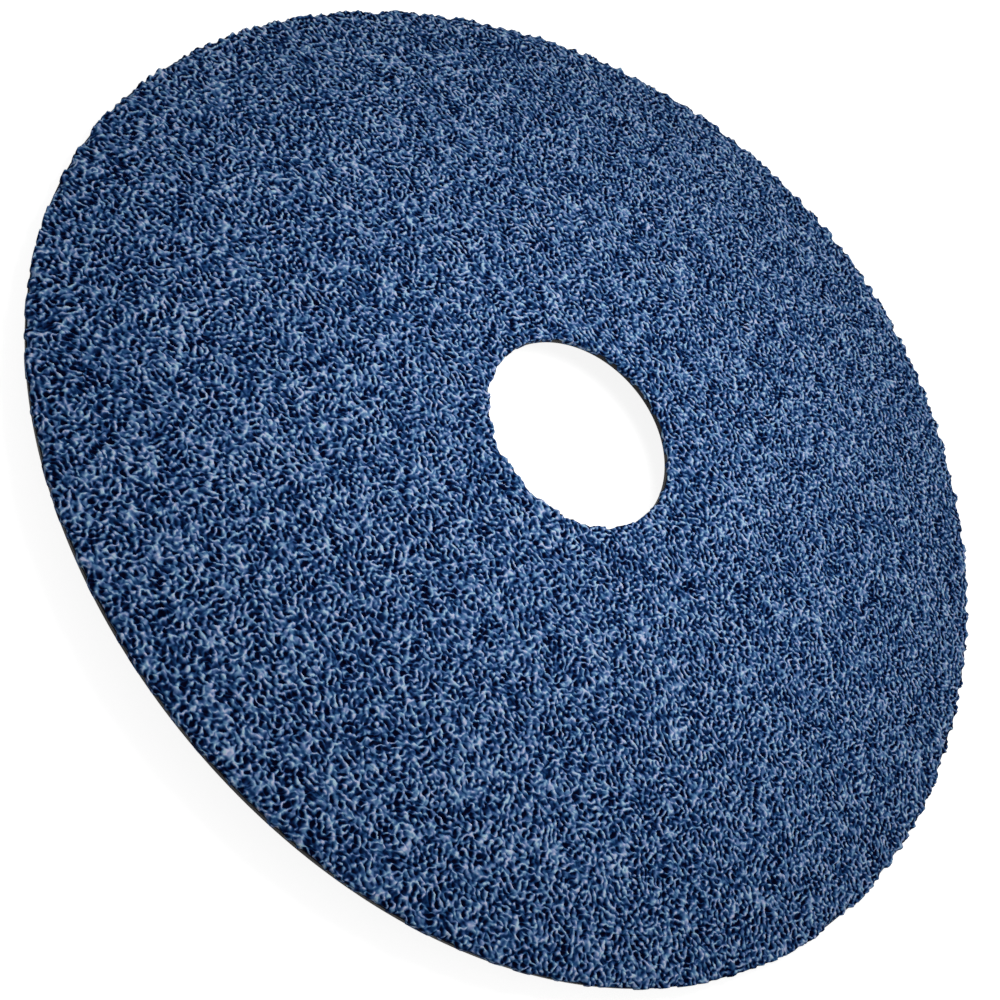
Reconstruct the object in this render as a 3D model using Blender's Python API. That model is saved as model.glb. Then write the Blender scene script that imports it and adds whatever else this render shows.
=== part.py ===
"""A fibre sanding disc that has curled a little in storage, lying grain side up.

It is a punched disc of vulcanised fibre with a coat of abrasive grain and resin bonded to its face.
X runs across the curl, Y along the line where the disc stands highest, and Z up from what it lies on.
The origin is on the axis of the bore, at the height of what the disc lies on.
"""

import math
import random

import bmesh
import bpy
from mathutils.geometry import delaunay_2d_cdt

# Driving sizes in metres
DISC_DIAMETER = 0.115
BORE_DIAMETER = 0.02223
BACKING_THICKNESS = 0.0006
BOND_LINE = 0.00003
BED_THICKNESS = 0.00012
GRAIN_HEIGHT = 0.00055
CURL_RADIUS = 0.34
EDGE_BREAK = 0.0004

# Spacing of the mesh points in metres
RIM_STEP = 0.002
BORE_STEP = 0.0014
SHEET_STEP = 0.006
GRAIN_STEP = 0.0018

# Shares, angles, seeds and what the triangulation is asked for
LOWEST_GRAIN = 0.1
HIGHEST_EDGE_GRAIN = 0.4
EDGE_OVERHANG = 0.3
GRAIN_SHAKE = 0.3
CLEAR_OF_EDGE = 0.6
GRAIN_SEED = 36
RIM_SEED = 24
GOLDEN_ANGLE = math.pi * (3 - math.sqrt(5))
SHARP_FOLD = math.radians(30)
WHOLE_HULL = 0
SAME_POINT = 1e-7

DISC_RADIUS = DISC_DIAMETER / 2
BORE_RADIUS = BORE_DIAMETER / 2
COAT_BASE = BACKING_THICKNESS + BOND_LINE
GRAIN_BASE = COAT_BASE + BED_THICKNESS

# Colours are linear red, green, blue
FIBRE_COLOUR = (0.045, 0.022, 0.018, 1.0)
FIBRE_ROUGHNESS = 0.55
GRAIN_COLOUR = (0.038, 0.076, 0.168, 1.0)
GRAIN_ROUGHNESS = 0.6


def clear_scene():
    """Removes every object that the start-up scene holds."""
    for old in list(bpy.data.objects):
        bpy.data.objects.remove(old)


def make_material(name, colour, roughness):
    """A plain non-metallic material."""
    material = bpy.data.materials.new(name)
    material.use_nodes = True
    shader = material.node_tree.nodes["Principled BSDF"]
    shader.inputs["Base Color"].default_value = colour
    shader.inputs["Roughness"].default_value = roughness
    shader.inputs["Metallic"].default_value = 0.0
    return material


def curled(x, y, height):
    """The place of a point of the flat sheet once the sheet has curled about the Y direction.

    x and y are measured along the back face and height above it. Lengths on the back face stay true.
    """
    angle = x / CURL_RADIUS
    drop = CURL_RADIUS * math.cos(DISC_RADIUS / CURL_RADIUS)
    reach = CURL_RADIUS + height
    return (reach * math.sin(angle), y, reach * math.cos(angle) - drop)


def circle_points(radius, step):
    """Evenly spaced points round a circle, with an edge square across the Y axis at either end of it."""
    count = 4 * round(math.pi * radius / (2 * step)) + 2
    turn = 2 * math.pi / count
    return [(radius * math.cos(turn * i), radius * math.sin(turn * i)) for i in range(count)]


def ring_points(step):
    """Rings of points between bore and rim."""
    rings = round((DISC_RADIUS - BORE_RADIUS) / step)
    width = (DISC_RADIUS - BORE_RADIUS) / rings
    radii = [BORE_RADIUS + width * i for i in range(1, rings)]
    return [point for radius in radii for point in circle_points(radius, step)]


def strewn_points(step, rng):
    """Points strewn evenly between bore and rim: a sunflower pattern that is shaken a little."""
    area_each = step * step * math.sin(math.pi / 3)
    inner = BORE_RADIUS + step * CLEAR_OF_EDGE
    outer = DISC_RADIUS - step * CLEAR_OF_EDGE
    count = int(math.pi * (outer**2 - inner**2) / area_each)
    shake = GRAIN_SHAKE * step
    points = []
    for i in range(count):
        radius = math.sqrt(inner**2 + (i + 0.5) * area_each / math.pi)
        angle = i * GOLDEN_ANGLE
        x = radius * math.cos(angle) + rng.uniform(-shake, shake)
        y = radius * math.sin(angle) + rng.uniform(-shake, shake)
        if inner < math.hypot(x, y) < outer:
            points.append((x, y))
    return points


class Face:
    """One side of a layer: the points of its rim, of its bore and in between, on the flat sheet."""

    def __init__(self, inside):
        self.rim = circle_points(DISC_RADIUS, RIM_STEP)
        self.bore = circle_points(BORE_RADIUS, BORE_STEP)
        self.inside = inside

    def rim_place(self, point):
        """The place in space of a rim point."""
        return self.inside_place(point)

    def bore_place(self, point):
        """The place in space of a bore point."""
        return self.inside_place(point)

    def inside_place(self, point):
        """The place in space of a point between rim and bore."""
        raise NotImplementedError

    def add_to(self, mesh):
        """Adds the triangulated side to a bmesh and returns its rim edges and its bore edges."""
        rim_end = len(self.rim)
        bore_end = rim_end + len(self.bore)
        flat = self.rim + self.bore + self.inside
        loops = [[(i, i + 1) for i in range(rim_end - 1)] + [(rim_end - 1, 0)]]
        loops.append([(i, i + 1) for i in range(rim_end, bore_end - 1)] + [(bore_end - 1, rim_end)])
        triangles = delaunay_2d_cdt(flat, loops[0] + loops[1], [], WHOLE_HULL, SAME_POINT, False)[2]
        places = [self.rim_place(point) for point in self.rim]
        places += [self.bore_place(point) for point in self.bore]
        places += [self.inside_place(point) for point in self.inside]
        verts = [mesh.verts.new(place) for place in places]
        for corners in triangles:
            in_bore = all(rim_end <= i < bore_end for i in corners)
            if not in_bore:
                mesh.faces.new([verts[i] for i in corners])
        return [[mesh.edges.get((verts[a], verts[b])) for a, b in loop] for loop in loops]


class SmoothFace(Face):
    """A side that keeps one height above the back of the sheet."""

    def __init__(self, height):
        super().__init__(ring_points(SHEET_STEP))
        self.height = height

    def inside_place(self, point):
        """The place in space of any point of the side."""
        return curled(*point, self.height)


class GrainFace(Face):
    """The rough side: a point for each cluster of grain, at a height of its own, and broken edges."""

    def __init__(self):
        self.rng = random.Random(GRAIN_SEED)
        self.edge_rng = random.Random(RIM_SEED)
        super().__init__(strewn_points(GRAIN_STEP, self.rng))

    def inside_place(self, point):
        """The place of a point between rim and bore, raised by its share of the grain height."""
        return curled(*point, GRAIN_BASE + GRAIN_HEIGHT * self.rng.uniform(LOWEST_GRAIN, 1))

    def rim_place(self, point):
        """The place of a rim point, moved in or out."""
        return self.edge_place(point, -1)

    def bore_place(self, point):
        """The place of a bore point, moved in or out."""
        return self.edge_place(point, 1)

    def edge_place(self, point, side):
        """The place of an edge point. side is 1 where the sheet lies outside the edge, or else -1."""
        x, y = point
        radius = math.hypot(x, y)
        scale = 1 + side * EDGE_BREAK * (self.edge_rng.random() - EDGE_OVERHANG) / radius
        grain = GRAIN_HEIGHT * self.edge_rng.uniform(LOWEST_GRAIN, HIGHEST_EDGE_GRAIN)
        return curled(x * scale, y * scale, GRAIN_BASE + grain)


def make_layer(name, underside, top, material):
    """One closed layer of the disc between two sides, with a wall round the rim and round the bore."""
    mesh = bmesh.new()
    for above, below in zip(top.add_to(mesh), underside.add_to(mesh)):
        bmesh.ops.bridge_loops(mesh, edges=above + below)
    bmesh.ops.recalc_face_normals(mesh, faces=mesh.faces)
    data = bpy.data.meshes.new(name)
    mesh.to_mesh(data)
    mesh.free()
    data.materials.append(material)
    data.shade_smooth()
    data.set_sharp_from_angle(angle=SHARP_FOLD)
    layer = bpy.data.objects.new(name, data)
    bpy.context.scene.collection.objects.link(layer)
    return layer


def make_backing(material):
    """The punched sheet of vulcanised fibre."""
    back = SmoothFace(0)
    front = SmoothFace(BACKING_THICKNESS)
    return make_layer("fibre_backing", back, front, material)


def make_coat(material):
    """The coat of grain and resin that is bonded to the front of the sheet."""
    bed = SmoothFace(COAT_BASE)
    return make_layer("abrasive_coat", bed, GrainFace(), material)


def main():
    """Builds the disc."""
    clear_scene()
    make_backing(make_material("vulcanised_fibre", FIBRE_COLOUR, FIBRE_ROUGHNESS))
    make_coat(make_material("abrasive_grain", GRAIN_COLOUR, GRAIN_ROUGHNESS))


main()
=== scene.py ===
"""The looks of a fibre sanding disc that lies grain side up, with its floor, light and camera.

Lengths are in metres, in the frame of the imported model: X runs across the disc's curl, Y along its crown and
Z up from the surface that it lies on, with the origin below the middle of the bore.
"""

from __future__ import annotations

import logging
import math
from dataclasses import dataclass, field
from enum import Enum

import bmesh
import bpy
import numpy as np
from mathutils import Matrix, Vector, noise


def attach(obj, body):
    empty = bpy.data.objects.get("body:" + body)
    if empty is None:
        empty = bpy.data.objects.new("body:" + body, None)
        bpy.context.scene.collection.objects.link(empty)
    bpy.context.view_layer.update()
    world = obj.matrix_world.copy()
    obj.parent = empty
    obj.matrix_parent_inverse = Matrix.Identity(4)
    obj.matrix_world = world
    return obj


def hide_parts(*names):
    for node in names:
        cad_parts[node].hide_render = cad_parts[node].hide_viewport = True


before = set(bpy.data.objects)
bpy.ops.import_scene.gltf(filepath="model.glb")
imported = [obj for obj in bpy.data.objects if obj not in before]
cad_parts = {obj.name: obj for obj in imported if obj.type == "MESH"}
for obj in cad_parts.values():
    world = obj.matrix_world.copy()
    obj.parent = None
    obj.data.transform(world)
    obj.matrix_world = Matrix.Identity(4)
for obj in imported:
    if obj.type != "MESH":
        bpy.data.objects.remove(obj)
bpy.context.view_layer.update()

LOG = logging.getLogger("sanding_disc")
MM = 0.001
BODY = "root"
BAKE_MAP = "OFBake"
FLAT = "flat"

Socket = bpy.types.NodeSocket


class Layer(Enum):
    """The layers of the cloudy noise that the finishes read, so that no two of them match."""

    FLOOR = 0.0
    STRAND = 1.0
    FIBRE = 2.0
    PATCH = 4.4
    CAST = 6.6
    BEND = 7.7
    GRIT = 8.8
    CLUMP = 9.1


def tone(red: int, green: int, blue: int) -> tuple[float, float, float, float]:
    """Turns a colour as a screen shows it into a linear one.

    Args:
        red, green, blue: The channels, from 0 to 255.

    Returns:
        The linear channels, and an alpha of 1.
    """
    shares = (red / 255, green / 255, blue / 255)
    linear = [s / 12.92 if s <= 0.04045 else ((s + 0.055) / 1.055) ** 2.4 for s in shares]
    return (*linear, 1.0)


class Value:
    """A node socket that Python's operators turn into Math nodes."""

    def __init__(self, graph: Graph, socket: Socket) -> None:
        """Wraps an output socket of a graph."""
        self.graph = graph
        self.socket = socket

    def __add__(self, other: Value | float) -> Value:
        """This value plus another."""
        return self.graph.maths("ADD", self, other)

    def __sub__(self, other: Value | float) -> Value:
        """This value less another."""
        return self.graph.maths("SUBTRACT", self, other)

    def __rsub__(self, other: Value | float) -> Value:
        """Another value less this one."""
        return self.graph.maths("SUBTRACT", other, self)

    def __mul__(self, other: Value | float) -> Value:
        """This value times another."""
        return self.graph.maths("MULTIPLY", self, other)

    __radd__ = __add__
    __rmul__ = __mul__


class Graph:
    """A node tree and the nodes that are added to it."""

    def __init__(self, tree: bpy.types.NodeTree) -> None:
        """Wraps a node tree."""
        self.tree = tree

    def give(self, socket: Socket, given: object) -> None:
        """Gives an input socket a value, or a link if the value is a socket.

        Args:
            socket: The input socket.
            given: A Value, an output socket, a number, a colour or a name.
        """
        if isinstance(given, Value):
            given = given.socket
        if isinstance(given, Socket):
            self.tree.links.new(given, socket)
        else:
            socket.default_value = given

    def add(self, kind: str, settings: dict, inputs: dict) -> bpy.types.Node:
        """Adds a node.

        Args:
            kind: The node's type, such as ShaderNodeMath.
            settings: Its properties, and for a ramp its stops.
            inputs: What each input socket is given, by name or number.

        Returns:
            The node.
        """
        node = self.tree.nodes.new(kind)
        for name, setting in settings.items():
            if name == "stops":
                self.set_stops(node.color_ramp, setting)
            else:
                setattr(node, name, setting)
        for name, given in inputs.items():
            self.give(node.inputs[name], given)
        return node

    def set_stops(self, ramp: bpy.types.ColorRamp, stops: list[tuple[float, tuple]]) -> None:
        """Gives a ramp its stops.

        Args:
            ramp: The ramp.
            stops: A place and a colour for each stop.
        """
        while len(ramp.elements) < len(stops):
            ramp.elements.new(1.0)
        for element, (place, colour) in zip(ramp.elements, stops):
            element.position = place
            element.color = colour

    def maths(self, operation: str, a: Value | Socket | float, b: Value | Socket | float) -> Value:
        """The result of a Math node on two values."""
        node = self.add("ShaderNodeMath", {"operation": operation}, {0: a, 1: b})
        return Value(self, node.outputs[0])

    def vector(self, operation: str, a: object, b: object) -> Socket:
        """The result of a Vector Math node on two vectors."""
        return self.add("ShaderNodeVectorMath", {"operation": operation}, {0: a, 1: b}).outputs[0]

    def tinted(self, colour: Value, tint: Value) -> Value:
        """Multiplies a colour by a tint.

        Args:
            colour: The colour.
            tint: The tint.

        Returns:
            The tinted colour.
        """
        settings = {"data_type": "RGBA", "blend_type": "MULTIPLY"}
        node = self.add("ShaderNodeMix", settings, {0: 1.0, 6: colour, 7: tint})
        return Value(self, node.outputs[2])

    def ramp(self, factor: Value, stops: list[tuple[float, tuple]]) -> Value:
        """The colour of a ramp at a value."""
        node = self.add("ShaderNodeValToRGB", {"stops": stops}, {"Fac": factor})
        return Value(self, node.outputs["Color"])

    def seen(self) -> Value:
        """Tells what the camera sees, straight or in gloss or through glass, from other light.

        Returns:
            1 for what it sees, and 0 for other rays.
        """
        rays = self.add("ShaderNodeLightPath", {}, {}).outputs
        indirect = self.maths("MAXIMUM", rays["Is Glossy Ray"], rays["Is Transmission Ray"])
        return self.maths("MAXIMUM", rays["Is Camera Ray"], indirect)

    def cloud(self, place: Socket, size: float, layer: Layer, detail: float = 0.0) -> bpy.types.Node:
        """A cloudy noise texture.

        Args:
            place: The point that it is read at.
            size: The spacing of its lattice in metres.
            layer: Which of its layers is read.
            detail: The number of finer noises that are added.

        Returns:
            The node, whose outputs run from 0 to 1.
        """
        moved = self.vector("ADD", place, (0.0, 0.0, layer.value * MM))
        return self.add("ShaderNodeTexNoise", {}, {"Vector": moved, "Scale": 1 / size, "Detail": detail})

    def wave(self, place: Socket, size: float, layer: Layer) -> Value:
        """A cloudy noise about 0, from -1 to 1."""
        return Value(self, self.cloud(place, size, layer).outputs[0]) * 2.0 - 1.0

    def curls(self, place: Socket, size: float, waves: float) -> tuple[Value, Value]:
        """A noise of curling lines about 0.

        Args:
            place: The point that it is read at.
            size: How far a patch of lines reaches, in metres.
            waves: How many lines lie side by side in that reach.

        Returns:
            The noise, and how strong its waves are at that point.
        """
        inputs = {"Vector": place, "Scale": 1 / size, "Frequency": waves, "Anisotropy": 0.0}
        node = self.add("ShaderNodeTexGabor", {}, inputs)
        return Value(self, node.outputs["Value"]) * 2.0 - 1.0, Value(self, node.outputs["Intensity"])

    def warped(self, place: Socket, size: float, layer: Layer, reach: float) -> Socket:
        """Moves a point along the sheet as a noise says.

        Args:
            place: The point.
            size: The spacing of the noise's lattice in metres.
            layer: Which layer of the noise is read.
            reach: How far the point moves at most, in metres.

        Returns:
            The moved point.
        """
        shift = self.vector("SUBTRACT", self.cloud(place, size, layer).outputs[1], (0.5, 0.5, 0.5))
        shift = self.vector("MULTIPLY", shift, (2 * reach, 2 * reach, 0.0))
        return self.vector("ADD", place, shift)


class Paint(Graph):
    """The graph of a material, with a Principled shader."""

    def __init__(self, name: str) -> None:
        """Starts a material with a Principled shader and nothing else.

        Args:
            name: The material's name.
        """
        self.material = bpy.data.materials.new(name)
        self.material.use_nodes = True
        super().__init__(self.material.node_tree)
        self.shader = self.tree.nodes["Principled BSDF"]
        self.surface = self.tree.nodes["Material Output"].inputs["Surface"]

    def place(self) -> Socket:
        """The place of the shaded point in the object's own frame."""
        return self.add("ShaderNodeTexCoord", {}, {}).outputs["Object"]

    def attribute(self, name: str) -> Socket:
        """A vector attribute of the mesh."""
        return self.add("ShaderNodeAttribute", {"attribute_name": name}, {}).outputs["Vector"]

    def bump(self, height: Value, distance: float, strength: float) -> Value:
        """A normal that a height bends."""
        inputs = {"Height": height, "Distance": distance, "Strength": strength}
        return Value(self, self.add("ShaderNodeBump", {}, inputs).outputs[0])

    def finish(self, sockets: dict) -> bpy.types.Material:
        """Gives the shader's sockets their values.

        Args:
            sockets: What each socket is given, by name.

        Returns:
            The material.
        """
        for name, given in sockets.items():
            self.give(self.shader.inputs[name], given)
        return self.material


class Gauge(Graph):
    """A graph that measures a value at each point of a mesh."""

    def __init__(self) -> None:
        """Starts an empty geometry tree."""
        super().__init__(bpy.data.node_groups.new("gauge", "GeometryNodeTree"))
        for way in ("INPUT", "OUTPUT"):
            self.tree.interface.new_socket("Geometry", in_out=way, socket_type="NodeSocketGeometry")

    def attribute(self, name: str) -> Socket:
        """A vector attribute of the mesh."""
        settings = {"data_type": "FLOAT_VECTOR"}
        return self.add("GeometryNodeInputNamedAttribute", settings, {"Name": name}).outputs[0]

    def read(self, piece: bpy.types.Object, value: Value) -> np.ndarray:
        """Measures a value and takes the graph down again.

        Args:
            piece: The object whose mesh is measured.
            value: What is measured.

        Returns:
            The value at each point of the mesh.
        """
        source = self.add("NodeGroupInput", {}, {})
        inputs = {"Geometry": source.outputs[0], "Name": "reading", "Value": value}
        store = self.add("GeometryNodeStoreNamedAttribute", {"data_type": "FLOAT", "domain": "POINT"}, inputs)
        self.add("NodeGroupOutput", {}, {0: store.outputs[0]})
        modifier = piece.modifiers.new("gauge", "NODES")
        modifier.node_group = self.tree
        measured = piece.evaluated_get(bpy.context.evaluated_depsgraph_get()).data
        reading = np.empty(len(measured.vertices), np.float32)
        measured.attributes["reading"].data.foreach_get("value", reading)
        piece.modifiers.remove(modifier)
        bpy.data.node_groups.remove(self.tree)
        return reading


@dataclass(frozen=True)
class GrainPattern:
    """The crests and pits of the grain, which its relief and its colour share."""

    bend: float = 0.42 * MM
    bend_reach: float = 0.2 * MM
    curls: tuple = (1.86 * MM, 1.72 * MM)
    curl_waves: float = 1.5
    curl_gain: float = 1.8
    curl_floor: float = 0.12
    curl_shift: tuple = (0.33, 0.23, 0.0)
    curl_share: float = 0.45
    pit_floor: float = -1.2
    grit: float = 0.32 * MM
    grit_share: float = 0.3
    clump: float = 1.2 * MM
    clump_share: float = 0.06
    patch: float = 2.6 * MM
    patch_share: float = 0.04
    line_height: float = 0.45
    clump_height: float = 2.0
    middle_height: float = 0.48

    def clumps(self, graph: Graph, place: Socket) -> Value:
        """How far the grain clumps together at a point: a value about 0."""
        clump = graph.wave(place, self.clump, Layer.CLUMP) * self.clump_share
        return clump + graph.wave(place, self.patch, Layer.PATCH) * self.patch_share

    def crests(self, graph: Graph, place: Socket, size: float) -> Value:
        """One set of curling crests, of one strength all over.

        Args:
            graph: The graph that it is added to.
            place: The point that it is read at.
            size: How far a patch of crests reaches, in metres.

        Returns:
            A value from the pit's floor to 1 on a crest.
        """
        curl, strength = graph.curls(place, size, self.curl_waves)
        evened = graph.maths("DIVIDE", curl * self.curl_gain, strength + self.curl_floor)
        return graph.maths("MAXIMUM", 1 - evened * evened, self.pit_floor)

    def lines(self, graph: Graph, place: Socket) -> Value:
        """Two sets of crests that cross and ring the pits.

        Args:
            graph: The graph that they are added to.
            place: The point that they are read at.

        Returns:
            A value from about -1 in a pit to 1 on a crest.
        """
        bent = graph.warped(place, self.bend, Layer.BEND, self.bend_reach)
        first = self.crests(graph, bent, self.curls[0])
        second = self.crests(graph, graph.vector("ADD", bent, self.curl_shift), self.curls[1])
        return (first + second) * self.curl_share + graph.wave(place, self.grit, Layer.GRIT) * self.grit_share

    def level(self, graph: Graph, place: Socket) -> Value:
        """How light the grain is painted at a point, from 0 in the darkest pit to 1 on the palest crest: it
        carries painted shade into the pits and a painted highlight onto the crests.
        """
        return (self.lines(graph, place) + self.clumps(graph, place)) * 0.5 + 0.5

    def height(self, graph: Graph, place: Socket) -> Value:
        """The share of the greatest height that the grain has at a point."""
        lines = self.lines(graph, place) * self.line_height
        return lines + self.clumps(graph, place) * self.clump_height + self.middle_height


@dataclass(frozen=True)
class GrainFinish:
    """Blue resin over the grain, with teal and lavender casts: painted shade makes the pits near black, and a
    painted highlight makes the crests pale.
    """

    # The darker stops are the resin's blue with painted shade of the pits; the paler ones are the resin's blue
    # with a painted highlight of the crests.
    pit_painted_shade: tuple = tone(0, 1, 24)
    deep_painted_shade: tuple = tone(1, 14, 47)
    dim: tuple = tone(6, 29, 68)
    shade: tuple = tone(11, 43, 87)
    middle: tuple = tone(35, 72, 121)
    pale: tuple = tone(86, 119, 165)
    crest_painted_highlight: tuple = tone(131, 157, 195)
    tip_painted_highlight: tuple = tone(184, 200, 223)
    levels: tuple = (0.318, 0.42, 0.485, 0.555, 0.648, 0.782, 0.879, 0.965)
    teal: tuple = (0.87, 1.05, 1.0, 1.0)
    lavender: tuple = (1.11, 0.97, 1.02, 1.0)
    cast: float = 0.6 * MM
    pit_roughness: float = 0.75
    crest_polish: float = 0.3
    gloss: float = 0.02

    def material(self, pattern: GrainPattern) -> bpy.types.Material:
        """Makes the coat's material.

        Args:
            pattern: The pattern that the relief follows too.

        Returns:
            The material.
        """
        paint = Paint("abrasive_grain")
        place = paint.attribute(FLAT)
        level = pattern.level(paint, place)
        shades = (self.pit_painted_shade, self.deep_painted_shade, self.dim, self.shade, self.middle, self.pale, self.crest_painted_highlight, self.tip_painted_highlight)
        # The ramp paints shade into the pits and a highlight onto the crests, on top of the resin's own blue.
        colour = paint.ramp(level, list(zip(self.levels, shades)))
        cast = Value(paint, paint.cloud(place, self.cast, Layer.CAST, 1.0).outputs[0])
        tint = paint.ramp(cast, [(0.4, self.teal), (0.6, self.lavender)])
        return paint.finish(
            {
                "Base Color": paint.tinted(colour, tint),
                "Roughness": self.pit_roughness - level * self.crest_polish,
                "Specular IOR Level": self.gloss,
            }
        )


@dataclass(frozen=True)
class FibreFinish:
    """Dark vulcanised fibre: dense paper with a faint grain and a dull sheen."""

    dark: tuple = tone(14, 13, 15)
    light: tuple = tone(26, 23, 25)
    cloud: float = 4.0 * MM
    cloud_share: float = 0.6
    strand: float = 0.5 * MM
    strand_share: float = 0.4
    strand_stretch: tuple = (1.0, 0.12, 1.0)
    strand_height: float = 0.02 * MM
    strand_roughness: float = 0.25
    least_roughness: float = 0.42
    gloss: float = 0.12

    def material(self) -> bpy.types.Material:
        """Makes the sheet's material.

        Returns:
            The material.
        """
        paint = Paint("vulcanised_fibre")
        place = paint.place()
        long_way = paint.vector("MULTIPLY", place, self.strand_stretch)
        strand = Value(paint, paint.cloud(long_way, self.strand, Layer.STRAND, 3.0).outputs[0])
        cloud = Value(paint, paint.cloud(place, self.cloud, Layer.FIBRE, 4.0).outputs[0])
        level = cloud * self.cloud_share + strand * self.strand_share
        return paint.finish(
            {
                "Base Color": paint.ramp(level, [(0.35, self.dark), (0.65, self.light)]),
                "Roughness": self.least_roughness + strand * self.strand_roughness,
                "Specular IOR Level": self.gloss,
                "Normal": paint.bump(strand, self.strand_height, 0.5),
            }
        )


@dataclass(frozen=True)
class FloorFinish:
    """A pale floor that reads as white and keeps the shadow of what lies on it."""

    paint: tuple = (0.54, 0.54, 0.54, 1.0)
    brighter: tuple = (0.56, 0.56, 0.56, 1.0)
    cloud: float = 0.3
    roughness: float = 0.9
    lift: float = 0.88

    def material(self) -> bpy.types.Material:
        """Makes the floor's material: paint, and a light of its own that falls on nothing else.

        Returns:
            The material.
        """
        floor = Paint("floor_paint")
        glow = floor.add("ShaderNodeEmission", {}, {"Strength": floor.seen() * self.lift})
        cloud = Value(floor, floor.cloud(floor.place(), self.cloud, Layer.FLOOR).outputs[0])
        colour = floor.ramp(cloud, [(0.3, self.paint), (0.7, self.brighter)])
        floor.finish({"Base Color": colour, "Roughness": self.roughness})
        both = floor.add("ShaderNodeAddShader", {}, {0: floor.shader.outputs[0], 1: glow.outputs[0]})
        floor.give(floor.surface, both.outputs[0])
        return floor.material


@dataclass(frozen=True)
class Sheet:
    """The form that both layers share: a punched ring, curled about the Y direction."""

    disc_radius: float = 57.5 * MM
    bore_radius: float = 11.115 * MM
    curl_radius: float = 340.0 * MM
    backing: float = 0.6 * MM
    bond: float = 0.03 * MM
    lip: float = 0.12 * MM

    def curled(self, points: np.ndarray) -> np.ndarray:
        """The places in space of points of the flat sheet.

        Args:
            points: One row of x, y and height above the back face for each point.

        Returns:
            One row for each point, once the sheet has curled.
        """
        x, y, height = points.T
        angle = x / self.curl_radius
        drop = self.curl_radius * math.cos(self.disc_radius / self.curl_radius)
        reach = self.curl_radius + height
        return np.stack([reach * np.sin(angle), y, reach * np.cos(angle) - drop], axis=1)


class Edge(Enum):
    """What a ring of the coat ends in on one side: the rim or the bore of the disc, or the next ring."""

    RIM = 1
    BORE = -1
    NEXT = 0


@dataclass(frozen=True)
class Row:
    """One circle of points of a ring of the coat.

    Attributes:
        radius: Its radius on the flat sheet.
        base: Its height above the underside of the coat, without the grain.
        rise: The share of the grain's height that lifts it.
        run: The radius that the pattern is read at, which runs on down the side walls.
    """

    radius: float
    base: float
    rise: float
    run: float


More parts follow.
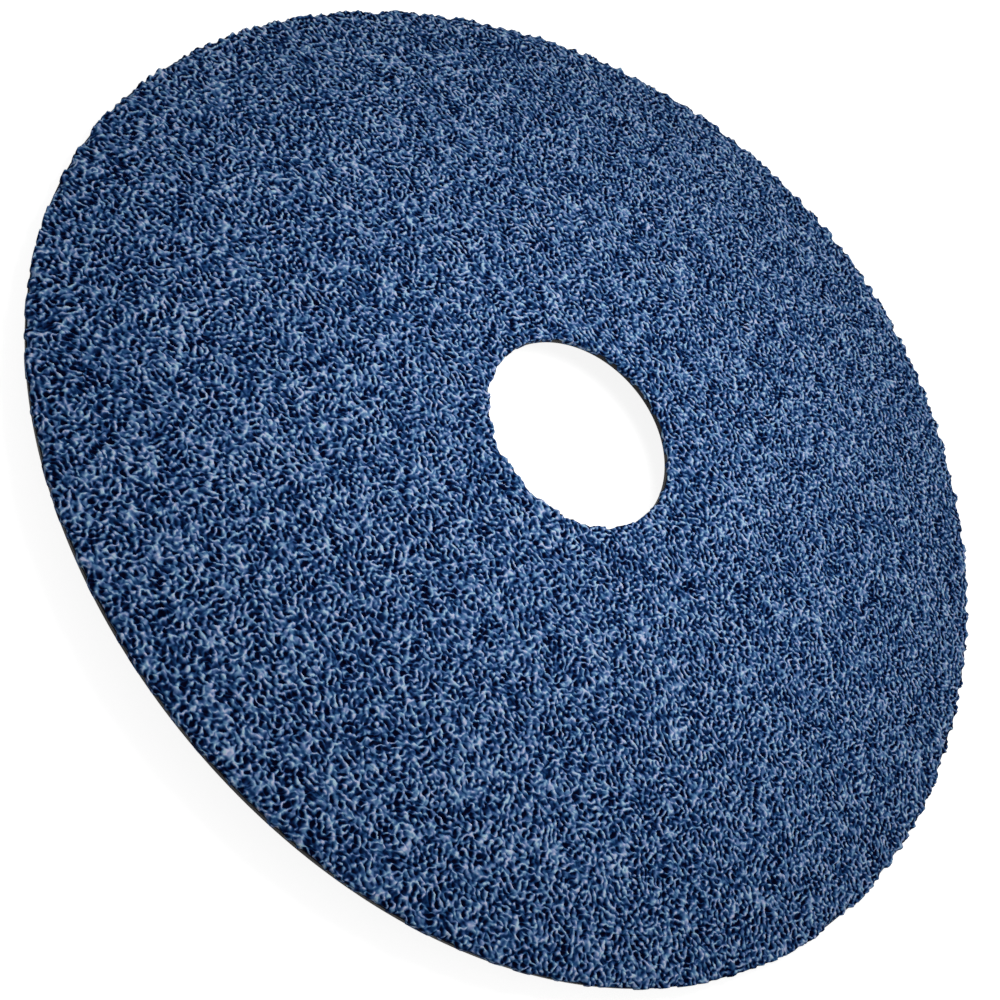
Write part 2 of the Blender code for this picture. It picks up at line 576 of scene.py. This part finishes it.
@dataclass
class GrainCoat:
    """The blue coat of resin and grain, modelled as rings that lie one inside the next."""

    sheet: Sheet
    pattern: GrainPattern = field(default_factory=GrainPattern)
    finish: GrainFinish = field(default_factory=GrainFinish)
    bed: float = 0.12 * MM
    grain_height: float = 0.5 * MM
    mesh_step: float = 0.165 * MM
    rings: int = 6
    strips: int = 6
    overhang: float = 0.3 * MM
    lip_rows: int = 3
    lip_wear: float = 0.8
    chip_depth: float = 0.25 * MM
    chip_size: float = 1.4 * MM
    chip_zone: float = 0.8 * MM
    chip_mean: float = 0.3
    chip_waves: tuple = ((1.0, 1.7), (2.2, 0.7))
    chip_layer: float = 0.1
    map_margin: float = 0.02

    def base(self) -> float:
        """The height of the coat's underside above the back of the sheet."""
        return self.sheet.backing + self.sheet.bond

    def radii(self) -> list[float]:
        """Works out the radii that part the rings, which are all of one area.

        Returns:
            The radii, from the bore to the rim.
        """
        inner = self.sheet.bore_radius**2
        outer = self.sheet.disc_radius**2
        return [math.sqrt(inner + (outer - inner) * i / self.rings) for i in range(self.rings + 1)]

    def side(self, radius: float, edge: Edge) -> list[Row]:
        """The rows of a ring's side wall, from the top down.

        Args:
            radius: The radius of the wall.
            edge: What the ring ends in there.

        Returns:
            The rows, the lowest last.
        """
        if edge is Edge.NEXT:
            return [Row(radius, 0.0, 0.0, radius)]
        rows = []
        for step in range(1, self.lip_rows + 1):
            share = step / self.lip_rows
            base = self.bed + (-self.overhang - self.bed) * share
            run = radius + edge.value * share * (self.overhang + self.bed + self.grain_height / 2)
            rows.append(Row(radius, base, 1 - share, run))
        inside = radius - edge.value * self.sheet.lip
        run += edge.value * self.sheet.lip
        return rows + [Row(inside, -self.overhang, 0.0, run), Row(inside, 0.0, 0.0, run)]

    def rows(self, inner: float, outer: float, inner_edge: Edge, outer_edge: Edge) -> list[Row]:
        """The closed outline of a ring: its top outwards, its outer side down, and its inner side up.

        Args:
            inner, outer: The radii of the ring.
            inner_edge, outer_edge: What it ends in on either side.

        Returns:
            The rows, with the first one again as the last.
        """
        count = round((outer - inner) / self.mesh_step)
        radii = [inner + (outer - inner) * i / count for i in range(count + 1)]
        top = [Row(radius, self.bed, 1.0, radius) for radius in radii]
        return top + self.side(outer, outer_edge) + self.side(inner, inner_edge)[::-1] + [top[0]]

    def blank(self, rows: list[Row]) -> bmesh.types.BMesh:
        """A flat ring without relief, with its bake map.

        Args:
            rows: The outline.

        Returns:
            The ring, whose layer of turns and rows says where each point lies.
        """
        outer = max(row.radius for row in rows)
        around = round(math.tau * outer / self.mesh_step / self.strips) * self.strips
        last = len(rows) - 1
        mesh = bmesh.new()
        chart = mesh.loops.layers.uv.new(BAKE_MAP)
        where = mesh.verts.layers.float_vector.new("where")
        bmesh.ops.create_grid(mesh, x_segments=around, y_segments=last, size=0.5, calc_uvs=True)
        margin, width = self.map_margin, 1 - 2 * self.map_margin
        for face in mesh.faces:
            strip = int((face.calc_center_median().x + 0.5) * self.strips)
            for loop in face.loops:
                u, v = loop[chart].uv
                loop[chart].uv = (u * self.strips - strip, (strip + margin + v * width) / self.strips)
        seam = []
        for vert in mesh.verts:
            turn, across = vert.co.x + 0.5, vert.co.y + 0.5
            number = round(across * last)
            if number in (0, last) or min(turn, 1 - turn) < 0.5 / around:
                seam.append(vert)
            row = rows[number]
            vert[where] = (turn, number, 0.0)
            angle = math.tau * turn
            vert.co = (row.radius * math.cos(angle), row.radius * math.sin(angle), row.base + row.rise)
        bmesh.ops.remove_doubles(mesh, verts=seam, dist=0.001 * MM)
        bmesh.ops.recalc_face_normals(mesh, faces=mesh.faces)
        for edge in mesh.edges:
            numbers = {round(vert[where].y) for vert in edge.verts}
            if len(numbers) == 1 and self.is_corner(rows, numbers.pop()):
                edge.smooth = False
        return mesh

    def is_corner(self, rows: list[Row], number: int) -> bool:
        """Whether the outline turns a sharp corner at a row."""
        row, before = rows[number % (len(rows) - 1)], rows[number - 1]
        return row.rise < 1 and (before.rise == 1 or row.rise == 0)

    def chip(self, x: float, y: float, edge: float) -> float:
        """Works out how deep an edge is chipped at a point of it.

        Args:
            x, y: The direction of the point from the middle of the bore.
            edge: The radius of the edge.

        Returns:
            The depth, which is 0 where the edge is whole.
        """
        place = Vector((x, y, self.chip_layer)) * (edge / self.chip_size)
        wave = sum(noise.noise(place * finer) * share for finer, share in self.chip_waves)
        return self.chip_depth * min(1.0, max(0.0, self.chip_mean + wave))

    def wear(self, ray: np.ndarray, radius: np.ndarray) -> np.ndarray:
        """How far the chips of the rim and the bore move points along their rays.

        Args:
            ray: The direction of each point from the middle of the bore.
            radius: The radius of each point.

        Returns:
            A shift for each point, which is below 0 where it goes inwards.
        """
        shift = np.zeros(len(radius))
        for edge, way in ((self.sheet.disc_radius, -1), (self.sheet.bore_radius, 1)):
            near = 1 - np.abs(radius - edge) / self.chip_zone
            for i in np.nonzero(near > 0)[0]:
                x, y, _ = ray[i]
                shift[i] = way * self.chip(x, y, edge) * near[i]
        return shift

    def lay(self, data: bpy.types.Mesh, places: np.ndarray) -> None:
        """Stores the place on the flat sheet at which each point reads the pattern."""
        data.attributes[FLAT].data.foreach_set("vector", places.astype(np.float32).ravel())

    def shape(self, piece: bpy.types.Object, rows: list[Row]) -> None:
        """Raises the grain, chips the edges and curls the ring.

        Args:
            piece: The flat ring.
            rows: Its outline.
        """
        data = piece.data
        count = len(data.vertices)
        where = np.empty(count * 3, np.float32)
        data.attributes["where"].data.foreach_get("vector", where)
        turn, number, _ = where.reshape(-1, 3).T
        angle = math.tau * turn
        ray = np.stack([np.cos(angle), np.sin(angle), np.zeros(count)], axis=1)
        table = np.array([[row.radius, row.base, row.rise, row.run] for row in rows])
        radius, base, rise, run = table[np.rint(number).astype(int)].T
        data.attributes.new(FLAT, "FLOAT_VECTOR", "POINT")
        self.lay(data, ray * radius[:, None])
        gauge = Gauge()
        share = gauge.read(piece, self.pattern.height(gauge, gauge.attribute(FLAT))).clip(0, 1)
        shift = self.wear(ray, radius)
        worn = np.abs(shift) / self.chip_depth
        height = base + rise * share * (1 - worn) * self.grain_height
        height = np.where(base < 0, height * (1 - worn * self.lip_wear), height)
        points = ray * (radius + shift)[:, None]
        points[:, 2] = self.base() + height
        self.lay(data, ray * run[:, None])
        data.vertices.foreach_set("co", self.sheet.curled(points).astype(np.float32).ravel())
        data.attributes.remove(data.attributes["where"])
        data.update()

    def build(self) -> None:
        """Builds the rings."""
        material = self.finish.material(self.pattern)
        radii = self.radii()
        for i, (inner, outer) in enumerate(zip(radii, radii[1:])):
            inner_edge = Edge.BORE if i == 0 else Edge.NEXT
            outer_edge = Edge.RIM if i == self.rings - 1 else Edge.NEXT
            rows = self.rows(inner, outer, inner_edge, outer_edge)
            piece = finished(self.blank(rows), f"grain_ring_{i + 1}", material)
            self.shape(piece, rows)
            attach(piece, BODY)
            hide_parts("abrasive_coat")


@dataclass
class FibreSheet:
    """The punched sheet of vulcanised fibre that carries the coat."""

    sheet: Sheet
    finish: FibreFinish = field(default_factory=FibreFinish)
    rows: int = 16
    around: int = 480
    rolled_edge: float = 0.15 * MM
    edge_segments: int = 3
    sharp_angle: float = 40.0

    def blank(self) -> bmesh.types.BMesh:
        """Makes the flat sheet, its back edges rounded as a punch leaves them.

        Returns:
            The sheet.
        """
        mesh = bmesh.new()
        inner, outer = self.sheet.bore_radius + self.sheet.lip, self.sheet.disc_radius - self.sheet.lip
        top = self.sheet.backing
        corners = [(inner, 0), (outer, 0), (outer, top), (inner, top)]
        verts = [mesh.verts.new((radius, 0, height)) for radius, height in corners]
        edges = [mesh.edges.new((verts[i], verts[(i + 1) % 4])) for i in range(4)]
        bmesh.ops.subdivide_edges(mesh, edges=[edges[0], edges[2]], cuts=self.rows - 1)
        bmesh.ops.spin(
            mesh,
            geom=mesh.verts[:] + mesh.edges[:],
            cent=(0, 0, 0),
            axis=(0, 0, 1),
            angle=math.tau,
            steps=self.around,
            use_merge=True,
        )
        bmesh.ops.recalc_face_normals(mesh, faces=mesh.faces)
        sharp = math.radians(self.sharp_angle)
        folds = [e for e in mesh.edges if e.calc_face_angle(0) > sharp and e.verts[0].co.z < top / 2]
        bmesh.ops.bevel(
            mesh,
            geom=folds,
            offset=self.rolled_edge,
            segments=self.edge_segments,
            profile=0.5,
            affect="EDGES",
            material=-1,
        )
        return mesh

    def build(self) -> None:
        """Builds the sheet."""
        piece = finished(self.blank(), "fibre_sheet", self.finish.material())
        points = np.empty(len(piece.data.vertices) * 3, np.float32)
        piece.data.vertices.foreach_get("co", points)
        points = self.sheet.curled(points.reshape(-1, 3).astype(float))
        piece.data.vertices.foreach_set("co", points.astype(np.float32).ravel())
        piece.data.set_sharp_from_angle(angle=math.radians(self.sharp_angle))
        piece.data.update()
        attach(piece, BODY)
        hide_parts("fibre_backing")


@dataclass
class Studio:
    """The floor, the light and the camera, which is placed as the photograph's was."""

    floor_size: float = 3.0
    world_strength: float = 0.24
    lamp_power: float = 0.075
    lamp_size: float = 0.08
    lamp_place: tuple = (0.002, 0.004, 0.09)
    lens: float = 55.61
    sensor: float = 36.0
    camera_place: tuple = (7.49 * MM, -115.76 * MM, 121.9 * MM)
    azimuth: float = 0.116
    elevation: float = 50.956
    roll: float = 51.653
    shift_up: float = 0.083

    def floor(self) -> None:
        """The plane that the disc lies on."""
        mesh = bmesh.new()
        bmesh.ops.create_grid(mesh, x_segments=4, y_segments=4, size=self.floor_size / 2)
        finished(mesh, "floor", FloorFinish().material())

    def world(self) -> None:
        """An even white surround, which the camera sees as pure white."""
        world = bpy.data.worlds.new("surround")
        world.use_nodes = True
        bpy.context.scene.world = world
        graph = Graph(world.node_tree)
        strength = graph.seen() * (1 - self.world_strength) + self.world_strength
        background = world.node_tree.nodes["Background"]
        graph.give(background.inputs["Color"], (1.0, 1.0, 1.0, 1.0))
        graph.give(background.inputs["Strength"], strength)

    def lamp(self) -> None:
        """One soft lamp above the middle of the disc, whose light fades towards the rim."""
        data = bpy.data.lights.new("soft_lamp", "AREA")
        data.shape = "DISK"
        data.size = self.lamp_size
        data.energy = self.lamp_power
        lamp = bpy.data.objects.new("soft_lamp", data)
        bpy.context.scene.collection.objects.link(lamp)
        lamp.location = self.lamp_place
        lamp.rotation_euler = (-Vector(self.lamp_place)).to_track_quat("-Z", "Y").to_euler()

    def camera(self) -> None:
        """The camera, at the photograph's viewing angle."""
        data = bpy.data.cameras.new("camera")
        data.sensor_width = self.sensor
        data.lens = self.lens
        data.shift_y = self.shift_up
        data.clip_start = 1 * MM
        camera = bpy.data.objects.new("camera", data)
        bpy.context.scene.collection.objects.link(camera)
        turn, tilt = math.radians(self.azimuth), math.radians(self.elevation)
        ahead = Vector((-math.sin(turn) * math.cos(tilt), math.cos(turn) * math.cos(tilt), -math.sin(tilt)))
        level = ahead.to_track_quat("-Z", "Y").to_matrix().to_4x4()
        roll = Matrix.Rotation(math.radians(self.roll), 4, "Z")
        camera.matrix_world = Matrix.Translation(self.camera_place) @ level @ roll
        bpy.context.scene.camera = camera

    def build(self) -> None:
        """Sets up the whole studio."""
        self.floor()
        self.world()
        self.lamp()
        self.camera()
        bpy.context.scene.view_settings.view_transform = "Standard"


def finished(mesh: bmesh.types.BMesh, name: str, material: bpy.types.Material) -> bpy.types.Object:
    """Turns a bmesh into a smoothly shaded object of the scene.

    Args:
        mesh: The bmesh, which is freed.
        name: The object's name.
        material: Its material.

    Returns:
        The object.
    """
    data = bpy.data.meshes.new(name)
    mesh.to_mesh(data)
    mesh.free()
    data.materials.append(material)
    data.shade_smooth()
    piece = bpy.data.objects.new(name, data)
    bpy.context.scene.collection.objects.link(piece)
    LOG.info("%s: %d points, %d faces", name, len(data.vertices), len(data.polygons))
    return piece


def main() -> None:
    """Builds the disc and the studio."""
    logging.basicConfig(level=logging.INFO)
    sheet = Sheet()
    FibreSheet(sheet).build()
    GrainCoat(sheet).build()
    Studio().build()


if __name__ == "__main__":
    main()
